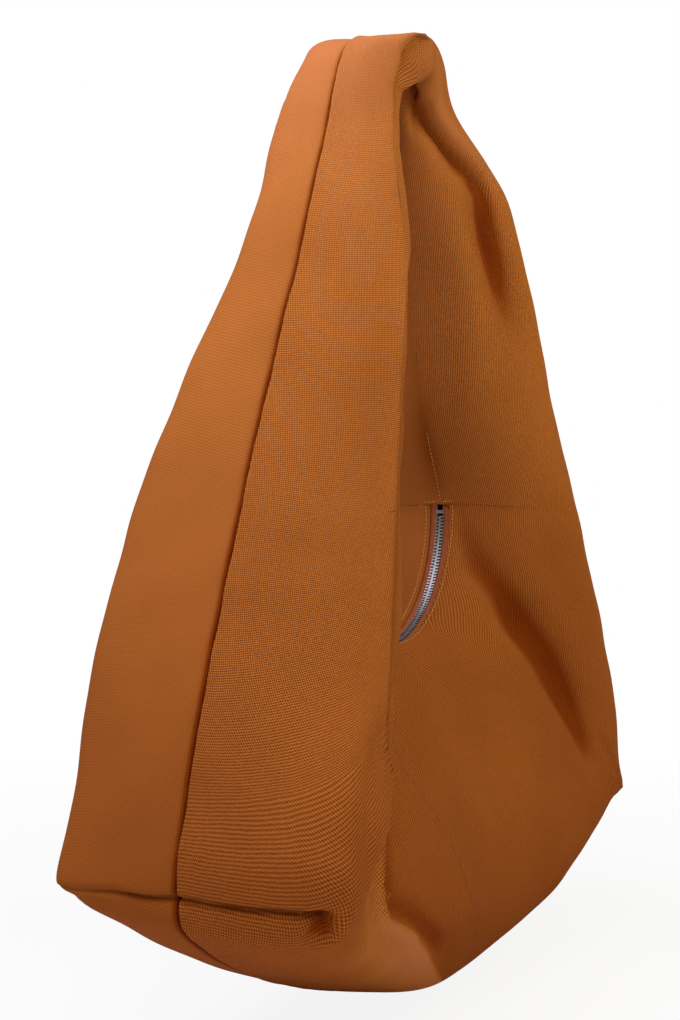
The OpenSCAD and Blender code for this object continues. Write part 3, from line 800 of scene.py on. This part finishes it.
def canvas_rows(n, side):
    """Stations of the rows: even steps of the outer seam's length, closer at the boxed corners,
    along the near leg and, in front, across the roll of the far leg."""
    fine = np.linspace(0, TURNS, 8001)
    seam = skin(fine, np.full_like(fine, BESIDE_SEAM))
    step = np.linalg.norm(np.diff(seam, axis=0), axis=1)
    middle = (fine[1:] + fine[:-1]) / 2
    for at, reach, more in CORNER_ROWS + ((ROLL_ROWS,) if side < 0 else ()):
        step = step * (1 + more * bell(middle - at, reach))
    step = step * (1 + NEAR_LEG_ROWS * np.sin(np.pi * (middle - BOTTOM) / BOTTOM).clip(0))
    length = np.concatenate([[0], np.cumsum(step)])
    even = np.interp(np.linspace(0, length[-1], n - 3)[:-1], length, fine)
    ends = [WINDOW_START - WINDOW_STEP, WINDOW_START]
    return np.sort(np.concatenate([even, ends, [TURNS - e for e in ends]]))


row_places = {side: canvas_rows(ROWS, side) for side in (-1, 1)}
print("rows:", len(row_places[-1]), "places:", PLACES)

# %% [markdown]
# Every edge is turned in, as a sewn edge is: it rolls over and runs down into the bag. The
# extra columns follow a short profile, given as depth below the face and distance back from
# the edge. The halves are cut with their weft at an angle, the back's steeper than the front's,
# and on the near leg's front the weave hangs lower towards the edge.

# %% Turned edges and the weave's direction
TURNED_EDGE = np.array([(0.05, -0.1), (0.2, -0.17), (0.6, -0.2), (2.0, -0.15), (4.6, 0.0),
                        (7.2, 0.4)])
GRAIN = {-1: 20, 1: 40}
SLANT = {-1: 0.8, 1: 0}
SLANT_FROM, SLANT_SHAPE = 13.6, 0.7
STATION_LENGTH = 88


def turned(points, normals, first):
    """Columns that continue a grid over its first or last edge and down along TURNED_EDGE."""
    edge, beside = (points[:, 0], points[:, 1]) if first else (points[:, -1], points[:, -2])
    normal = normals[:, 0] if first else normals[:, -1]
    back = beside - edge
    back = back - (back * normal).sum(1, keepdims=True) * normal
    back = back / np.linalg.norm(back, axis=1, keepdims=True)
    profile = TURNED_EDGE[::-1] if first else TURNED_EDGE
    down, aside = profile[None, :, 0:1], profile[None, :, 1:2]
    columns = edge[:, None] - down * normal[:, None] + aside * back[:, None]
    return np.concatenate([columns, points] if first else [points, columns], 1)


def weave_slant(a, side):
    """The slope by which the weft of the near leg hangs lower towards its front edge, and the
    mm that it has turned the warp by: slope = s * sin^0.7, and its running sum along the seam,
    which dies out again round the rest of the tube."""
    table = np.linspace(SLANT_FROM, TURNS, 200)
    bow = np.sin(np.pi * (table - SLANT_FROM) / (TURNS - SLANT_FROM)).clip(0)
    slope = SLANT[side] * bow**SLANT_SHAPE
    total = np.cumsum(slope) * (table[1] - table[0]) * STATION_LENGTH
    a = a % TURNS
    return np.interp(a, table, slope, left=0), np.interp(a, [0, *table], [total[-1], *total])


def canvas_half(side):
    """One half of the canvas: its face over rows and places, with both edges turned in, its flat
    coordinates in mm and its painted light and shade."""
    rows = row_places[side]
    inside = np.abs(rows - BOTTOM) <= BOTTOM - WINDOW_START + 1e-9
    start = np.where(inside, WINDOW_PLACE, SEAM_GAP)
    t = crowded(PLACES, CROWDING)
    c = start[:, None] + (1 - OUTER_GAP[side] - start[:, None]) * t[None, :]
    a = np.repeat(rows[:, None], PLACES, axis=1)
    if side < 0:
        c = -c[:, ::-1]
    points, normals = cloth(a, c), outward(a, c)
    x, z, _, from_outer = flat(a, c)
    grain = np.radians(GRAIN[side])
    slope, turn = weave_slant(a, side)
    u = x * np.cos(grain) - z * np.sin(grain) - turn
    v = x * np.sin(grain) + z * np.cos(grain) + slope * from_outer
    # the third value is the painted light and shade
    values = np.stack([u, v, painted_light_and_shade(a, c)], -1)
    for first in (True, False):
        points = turned(points, normals, first)
        more = (len(TURNED_EDGE), 0) if first else (0, len(TURNED_EDGE))
        values = np.pad(values, ((0, 0), more, (0, 0)), mode="edge")
    return points, values[..., :2], values[..., 2]


print("columns turned in at each edge:", len(TURNED_EDGE))

# %% [markdown]
# The canvas is a plain weave of heavy threads, told apart in front and blurred at the back.
# Clouds tint it, and light and shade are painted on it, paler or deeper.

# %% Canvas finish
WARP_PITCH, WEFT_PITCH = 0.95, 1.25
CONTRAST = {-1: 1.2, 1: 0.35}
CANVAS_DARK, CANVAS_LIGHT = (0.20, 0.046, 0.005), (0.68, 0.232, 0.046)
# no tint, the tint of painted light, and the tint of painted shade, laid on a second time where the
# shade is darkest
PLAIN, PAINTED_LIGHT_TINT, PAINTED_SHADE_TINT = (1, 1, 1), (1.30, 1.40, 2.50), (0.50, 0.29, 0.09)
DARKEST_SHADE_FROM = 1.2
CLOUD_DARK, CLOUD_LIGHT = (0.88, 0.86, 0.84), (1.05, 1.05, 1.05)
CLOUD_FROM, CLOUD_GAIN = 0.3, 2.2
WAVER = 1.5
SLUB_TONE, SLUB_HEIGHT = 0.4, 0.3
# the weave's contrast where no light or shade is painted, and what cloth painted paler or painted
# in shade loses of it
CLEAR, PALE_LOSS, DEEP_LOSS = 1.1, 1.3, 0.4
WEAVE_DEPTH = 0.0003


def canvas_shader(name, contrast):
    """A heavy plain weave. Warp and weft cross over and under in a chequer, and each crossing
    stands up as a crown: sin(pi u / warp) * sin(pi v / weft) is 1 on the weft and -1 on the warp.
    The painted light and shade multiply the colour, towards a paler or a deeper tone."""
    sh = Shader(name, Roughness=1.0)
    sh.set("Specular IOR Level", 0.05)
    u, v = sh.uv()
    u = u + sh.noise(scale=60.0, detail=2.0, roughness=0.5) * WAVER
    v = v + sh.noise(scale=45.0, detail=2.0, roughness=0.5) * WAVER
    wave = (u * (np.pi / WARP_PITCH)).sine() * (v * (np.pi / WEFT_PITCH)).sine() * 0.5
    slub = sh.noise(scale=600.0, detail=2.0, roughness=0.6)
    cloud = sh.noise(scale=9.0, detail=4.0, roughness=0.55)
    painted_shading = sh.value("painted_light_and_shade")
    # painted light where the share is above 0, painted shade below 0
    pale, deep = painted_shading.clamped(), (painted_shading * -1.0).clamped()
    deepest = (painted_shading * -1.0 - DARKEST_SHADE_FROM).clamped()
    clear = CLEAR - pale * PALE_LOSS - deep * DEEP_LOSS
    thread = ((wave + (slub - 0.5) * SLUB_TONE) * contrast * clear + 0.5).clamped()
    colour = sh.mix(thread, CANVAS_DARK, CANVAS_LIGHT)
    clouded = ((cloud - CLOUD_FROM) * CLOUD_GAIN).clamped()
    for share, low, high in ((clouded, CLOUD_DARK, CLOUD_LIGHT), (pale, PLAIN, PAINTED_LIGHT_TINT),
                             (deep, PLAIN, PAINTED_SHADE_TINT), (deepest, PLAIN, PAINTED_SHADE_TINT)):
        colour = sh.tinted(colour, share, low, high)
    sh.set("Base Color", colour)
    sh.bump(wave + 0.5 + slub * SLUB_HEIGHT, WEAVE_DEPTH * contrast)
    return sh


canvas = {side: canvas_shader("canvas_" + word, CONTRAST[side])
          for side, word in ((-1, "front"), (1, "back"))}
print("canvas finishes:", len(canvas))

# %% [markdown]
# Each half runs from the strap's top to the base in one piece.

# %% The two canvas halves
for side, name in ((-1, "front_canvas"), (1, "back_canvas")):
    points, uv, painted_shading = canvas_half(side)
    half = thick_sheet(name, points, CANVAS_T, ring=True, uv=uv, painted_shading=painted_shading)
    dress(half, canvas[side])
    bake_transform(half)
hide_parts("front_strap", "front_leg_fold", "front_panel")
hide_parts("back_strap", "back_leg_fold", "back_panel")

# %% [markdown]
# Inside, each layer is another grid under the same cloth: the webbing that carries the strap,
# the lining, the facing and the tape beside the zip, the tapes over the seams, and the pocket.
# They use the face's own folds, so no layer comes through it.

# %% Layers under the canvas
LAYER_TOP, LINING_TOP = 4.88, 5.2
OUTER_REACH = 90
ZIP_REACH = 80
# depth under the face and thickness, in mm
LINING, FACING, ZIP_TAPE, WEBBING = (6.5, 0.7), (3.0, 0.7), (1.85, 0.5), (6.0, 1.8)
SEAM_TAPE, CORNER_TAPE, POCKET, HEM = (5.5, 0.8), (3.8, 0.8), (10.2, 0.8), (11.2, 1.0)
# distances in mm from the loop seam, or from the outer seam for the last
LINING_FROM, FACING_FROM, FACING_TO, TAPE_FROM, TAPE_TO, LINING_TO = 20.0, 8.6, 26.0, 2.0, 16.0, 9


def zip_place(y):
    """The place at a distance in mm beside the loop seam."""
    return np.where(y <= SEAM_FLAT, FLAT_SHARE * y / SEAM_FLAT,
                    FLAT_SHARE + (1 - FLAT_SHARE) * (y - SEAM_FLAT) / (np.pi * ZIP_REACH))


def outer_place(y):
    """The share of a half section at a distance in mm beside the outer seam."""
    return (1 - FLAT_SHARE) * y / (np.pi * OUTER_REACH)


def layer(name, grid, build, shader, body, slot):
    """A sheet over a grid of stations and places, at a depth under the face and with a
    thickness, that carries its flat cut."""
    (a, c), (depth, thickness) = grid, build
    x, z = flat(a, c)[:2]
    obj = thick_sheet(name, cloth(a, c, depth), thickness, uv=np.stack([x, z], -1))
    dress(obj, shader)
    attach(obj, body)
    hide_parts(name)


def strip(a_from, a_to, rows, c_from, c_to, cols):
    """A plain grid of stations and places. Both counts are odd, so that every other point is
    shared by the coarse back face."""
    return np.meshgrid(np.linspace(a_from, a_to, rows), np.linspace(c_from, c_to, cols),
                       indexing="ij")


def beside_zip(side, low, high, top, rows, cols):
    """A grid on one side of the zip, from leg to leg, between two places beside the loop seam."""
    places = (low, high) if side > 0 else (-high, -low)
    return strip(top, TURNS - top, rows, *places, cols)


def over_seam(start, end, rows, half_width, cols):
    """A grid over the outer seam, that reaches half of its width in mm to either side."""
    w = outer_place(half_width)
    return strip(start, end, rows, 1 - w, 1 + w, cols)


# %% Finishes of the inner cloths


def cloth_shader(name, dark, light, pitch_u, pitch_v, bump, roughness=0.85):
    """A finer cloth: ribs of two pitches crossing, coloured between two tones."""
    sh = Shader(name, Roughness=roughness)
    sh.set("Specular IOR Level", 0.3)
    u, v = sh.uv()
    warp, weft = (u * (2 * np.pi / pitch_u)).sine(), (v * (2 * np.pi / pitch_v)).sine()
    ribs = warp * 0.25 + weft * 0.25 + 0.5
    speck = sh.noise(scale=500.0, detail=2.0, roughness=0.6)
    sh.set("Base Color", sh.mix((ribs * 0.7 + speck * 0.3).clamped(), dark, light))
    sh.bump(ribs, bump)
    return sh


lining_cloth = cloth_shader("tan_lining", (0.21, 0.115, 0.05), (0.36, 0.22, 0.11),
                            0.8, 0.6, 0.0001)
tape_cloth = cloth_shader("zip_tape", (0.28, 0.066, 0.016), (0.52, 0.145, 0.042),
                          0.55, 0.55, 0.0002, 0.8)
binding_cloth = cloth_shader("seam_binding", (0.17, 0.055, 0.018), (0.30, 0.11, 0.04),
                             1.2, 0.7, 0.0002)
webbing_cloth = cloth_shader("strap_webbing", (0.38, 0.30, 0.19), (0.60, 0.50, 0.35),
                             2.2, 1.1, 0.0004)
print("inner cloths: lining, zip tape, binding, webbing")

# %% Lining, facings and tapes
for side, word in ((-1, "front"), (1, "back")):
    grid = beside_zip(side, zip_place(LINING_FROM), 1 - outer_place(LINING_TO), LINING_TOP, 181, 61)
    layer(word + "_lining", grid, LINING, lining_cloth, "bag", "lining")
    grid = beside_zip(side, zip_place(FACING_FROM), zip_place(FACING_TO), LAYER_TOP, 181, 9)
    layer("zip_facing_" + word, grid, FACING, lining_cloth, "bag", "lining")
    grid = beside_zip(side, zip_place(TAPE_FROM), zip_place(TAPE_TO), LAYER_TOP, 241, 13)
    layer("zip_tape_" + word, grid, ZIP_TAPE, tape_cloth, "bag", "zip_tape")

# %% Webbing, seam tapes and corner bindings
grid = over_seam(-3.0, 3.0, 121, 38, 21)
layer("strap_webbing", grid, WEBBING, webbing_cloth, "strap", "webbing")
for name, start, end, rows in (("side_seam_tape_near", 12.70, 15.12, 81),
                               ("side_seam_tape_far", 4.88, 7.0, 81),
                               ("bottom_seam_tape", 7.4, 12.6, 141)):
    layer(name, over_seam(start, end, rows, 8, 9), SEAM_TAPE, binding_cloth, "bag", "binding")
for name, start in (("box_corner_binding_near", 12.65), ("box_corner_binding_far", 7.05)):
    grid = over_seam(start, start + 0.3, 9, 75, 81)
    layer(name, grid, CORNER_TAPE, binding_cloth, "bag", "binding")

# %% [markdown]
# A slip pocket hangs inside the front. Its near edge is the curved line of stitches that
# shows through on the outside, so the same curve places both.

# %% Inner pocket
POCKET_TOP, POCKET_SHARE = 0.36, 0.27
HEM_SHARE = 0.104


def pocket_near(v):
    """The near edge's station from the hem (0) to the foot (1): 11.85 - 2.4 v + 0.95 v^2."""
    return 11.85 - 2.4 * v + 0.95 * v * v


def pocket_place(v):
    """The place across the front at the same height of the pocket."""
    return -(POCKET_TOP + POCKET_SHARE * v)


def pocket_grid(v_from, v_to, cols):
    """Stations and places of the pocket between two heights. Its far edge is 8.5 + 0.9 v."""
    u, v = np.meshgrid(np.linspace(0, 1, 61), np.linspace(v_to, v_from, cols), indexing="ij")
    far = 8.5 + 0.9 * v
    return far + (pocket_near(v) - far) * u, pocket_place(v)


layer("inner_pocket", pocket_grid(0, 1, 41), POCKET, lining_cloth, "bag", "lining")
layer("pocket_hem", pocket_grid(0, HEM_SHARE, 7), HEM, binding_cloth, "bag", "binding")

# %% [markdown]
# Stitches are real little threads here: short pillows that stand out of the cloth at an even
# pitch. One small shape is repeated along each line.

# %% Stitches
STITCH_SIDES = 6
STITCH_PITCH, STITCH_LENGTH = 3.2, 2.6
# a stitch's rings: the place along it from -1 to 1, and the share of its thickness
STITCH_RINGS = np.array([(-1.0, 0.05), (-0.8, 0.6), (-0.3, 1.0), (0.3, 1.0), (0.8, 0.6),
                         (1.0, 0.05)])
FLATTENED = 0.9


def one_stitch(thick, lift):
    """Points and side faces of one stitch along X: a hexagonal tube with round ends, a little
    flattened, whose middle is lifted by lift (1 - t^2)."""
    turn = np.arange(STITCH_SIDES) * 2 * np.pi / STITCH_SIDES
    t, r = STITCH_RINGS[:, :1], STITCH_RINGS[:, 1:]
    local = np.stack(np.broadcast_arrays(t * STITCH_LENGTH / 2, r * np.cos(turn) * thick / 2,
                                         r * np.sin(turn) * thick * FLATTENED / 2
                                         + lift * (1 - t**2)), -1)
    k = np.arange(STITCH_RINGS.shape[0] * STITCH_SIDES).reshape(-1, STITCH_SIDES)
    after = np.roll(k, -1, 1)
    faces = np.stack([k[:-1], after[:-1], after[1:], k[1:]], -1)
    return local.reshape(-1, 3), faces.reshape(-1, 4), np.stack([k[0, ::-1], k[-1]])


def stitch_row(name, a, c, shader, thick=0.75, lift=0.3):
    """Stitches at an even pitch along a line of stations and places of the cloth."""
    path = cloth(a, c)
    lengths = np.concatenate([[0], np.cumsum(np.linalg.norm(np.diff(path, axis=0), axis=1))])
    spots = np.arange(STITCH_PITCH / 2, lengths[-1], STITCH_PITCH)

    def on_path(lengths_along):
        return np.stack([np.interp(lengths_along, lengths, path[:, k]) for k in range(3)], -1)

    along = on_path(spots + 0.5) - on_path(spots - 0.5)
    along = along / np.linalg.norm(along, axis=1, keepdims=True)
    up = outward(np.interp(spots, lengths, a), np.interp(spots, lengths, c))
    local, sides, caps = one_stitch(thick, lift)
    basis = np.stack([along, np.cross(up, along), up], 1)
    points = on_path(spots)[:, None, :] + local[None] @ basis
    first = len(local) * np.arange(len(spots))[:, None, None]
    faces = [face for kind in (sides, caps)
             for face in (kind[None] + first).reshape(-1, kind.shape[1]).tolist()]
    obj = new_object(name, points.reshape(-1, 3), faces)
    dress(obj, shader)
    print(name, len(spots), "stitches")
    return obj


def thread_shader(name, dark, light):
    """Twisted thread: fine flecks between two tones."""
    sh = Shader(name, Roughness=0.6)
    twist = sh.noise(scale=1600.0, detail=1.0, roughness=0.5)
    sh.set("Base Color", sh.mix(twist, dark, light))
    return sh


golden = thread_shader("golden_thread", (0.42, 0.18, 0.025), (0.72, 0.36, 0.065))
tonal = thread_shader("tonal_thread", (0.08, 0.022, 0.005), (0.20, 0.06, 0.015))

window_place = zip_place(10.4)
window_a = np.linspace(WINDOW_START, TURNS - WINDOW_START, 400)
for side, word in ((-1, "front"), (1, "back")):
    row = stitch_row("window_stitches_" + word, window_a, np.full(400, side * window_place), golden)
    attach(row, "bag")
end_c = np.linspace(-window_place, window_place, 60)
for way, word, end in ((-1, "far", WINDOW_START), (1, "near", TURNS - WINDOW_START)):
    at = end + way * 0.05
    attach(stitch_row("window_end_stitches_" + word, np.full(60, at), end_c, golden), "bag")
    seam_a = np.linspace(at, at + way * 0.75, 120)
    row = stitch_row("loop_seam_stitches_" + word, seam_a, np.full(120, -0.012), golden)
    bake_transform(row)
v = np.linspace(-0.32, 1.32, 300)
row = stitch_row("pocket_stitches", pocket_near(v), pocket_place(v), tonal, lift=0.1, thick=0.6)
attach(row, "bag")

# %% [markdown]
# The zip's metal parts come straight from the model, which already has their true shape. They
# get a soft nickel finish, a little dull in places.

# %% Nickel finish


def nickel_shader():
    """Handled nickel: a fine noise roughens it, and a coarse one dulls it."""
    sh = Shader("nickel", Metallic=1.0)
    fine = sh.noise(scale=4000.0, detail=2.0, roughness=0.5)
    dull = sh.noise(scale=300.0, detail=3.0, roughness=0.6)
    sh.set("Base Color", sh.mix(dull, (0.09, 0.085, 0.08), (0.30, 0.29, 0.27)))
    sh.set("Roughness", fine * 0.12 + dull * 0.15 + 0.30)
    return sh


nickel = nickel_shader()
for name in ("zip_teeth_front", "zip_teeth_back", "zip_top_stops", "zip_bottom_stop",
             "zip_slider", "zip_puller"):
    for part in [o for o in bpy.data.objects if o.name == name or o.name.startswith(name + ".")]:
        if part.type == "MESH":
            dress(part, nickel)
            print("finished", part.name)

# %% [markdown]
# Soft light falls from above and from the left, as in a small photo studio, and a faint fill
# comes from all round. The backdrop and the floor look white to the camera only.

# %% Light, floor and backdrop
WORLD_COLOUR, WORLD_STRENGTH = (1, 0.92, 0.68, 1), 0.10
FLOOR_Z, FLOOR_HALF = -641.0, 6000.0
# the floor's glow: its share close to the bag, how fast it grows, and from how far out, in metres
GLOW, GLOW_GROWTH, GLOW_FROM = 0.88, 0.14, 0.3


def light_world():
    """Plain white when it is seen or mirrored, and else a faint warm light."""
    world = bpy.data.worlds.new("studio")
    bpy.context.scene.world = world
    world.use_nodes = True
    tree = world.node_tree
    tree.nodes.clear()
    out, path, lit, seen, mix, direct = (tree.nodes.new("ShaderNode" + kind) for kind in (
        "OutputWorld", "LightPath", "Background", "Background", "MixShader", "Math"))
    lit.inputs[0].default_value, lit.inputs[1].default_value = WORLD_COLOUR, WORLD_STRENGTH
    seen.inputs[0].default_value, seen.inputs[1].default_value = (1, 1, 1, 1), 1.0
    direct.operation = "MAXIMUM"
    for output, socket in ((path.outputs["Is Camera Ray"], direct.inputs[0]),
                           (path.outputs["Is Glossy Ray"], direct.inputs[1]),
                           (direct.outputs[0], mix.inputs[0]), (lit.outputs[0], mix.inputs[1]),
                           (seen.outputs[0], mix.inputs[2]), (mix.outputs[0], out.inputs[0])):
        tree.links.new(output, socket)


def area_light(name, spot, aim, size, power, colour=(1, 1, 1)):
    """A square soft box at a spot, in metres, aimed at a point."""
    data = bpy.data.lights.new(name, "AREA")
    data.shape = "SQUARE"
    data.size = size
    data.energy, data.color = power, colour
    lamp = bpy.data.objects.new(name, data)
    lamp.location = spot
    x, y, z = np.array(aim) - np.array(spot)
    lamp.rotation_euler = (np.arctan2(np.hypot(x, y), -z), 0, np.arctan2(y, x) - np.pi / 2)
    bpy.context.scene.collection.objects.link(lamp)


light_world()
area_light("key_light", (-0.85, -0.1, 0.65), (0, 0, -0.25), 0.8, 8, (1, 1, 1.12))
area_light("back_light", (-0.5, 0.45, 0.75), (0, 0, -0.25), 0.8, 9, (1, 1, 1.35))
area_light("front_light", (0.4, -1.05, 0.45), (0, 0, -0.35), 0.9, 9.5, (1, 0.93, 0.66))
area_light("camera_fill", (-1.2, -0.9, -0.1), (0, 0, -0.35), 0.9, 2.2)


def pale_floor():
    """A wide pale sheet under the bag. The camera sees it mostly as white, with the shadow."""
    corners = np.array([(-1, -1), (1, -1), (1, 1), (-1, 1)]) * FLOOR_HALF
    floor = new_object("floor", np.insert(corners, 2, FLOOR_Z, axis=1), [(0, 1, 2, 3)])
    sh = Shader("pale_floor", Roughness=0.9)
    sh.set("Base Color", (0.9, 0.9, 0.9, 1))
    glow = sh.node("ShaderNodeEmission", {}, {"Color": (1, 1, 1, 1), "Strength": 1.0})
    path = sh.node("ShaderNodeLightPath", {}, {})
    where = sh.node("ShaderNodeSeparateXYZ", {}, {0: sh.place()})
    x, y = Value(sh, where.outputs[0]), Value(sh, where.outputs[1])
    spread = ((x * x + y * y) ** 0.5 - GLOW_FROM).clamped()
    share = Value(sh, path.outputs["Is Camera Ray"]) * (spread * GLOW_GROWTH + GLOW).clamped()
    mix = sh.node("ShaderNodeMixShader", {},
                  {0: share, 1: sh.principled.outputs[0], 2: glow.outputs[0]})
    sh.tree.links.new(mix.outputs[0], sh.tree.nodes["Material Output"].inputs[0])
    dress(floor, sh)


pale_floor()
bpy.context.scene.view_settings.view_transform = "Standard"
print("lights:", len(bpy.data.lights))
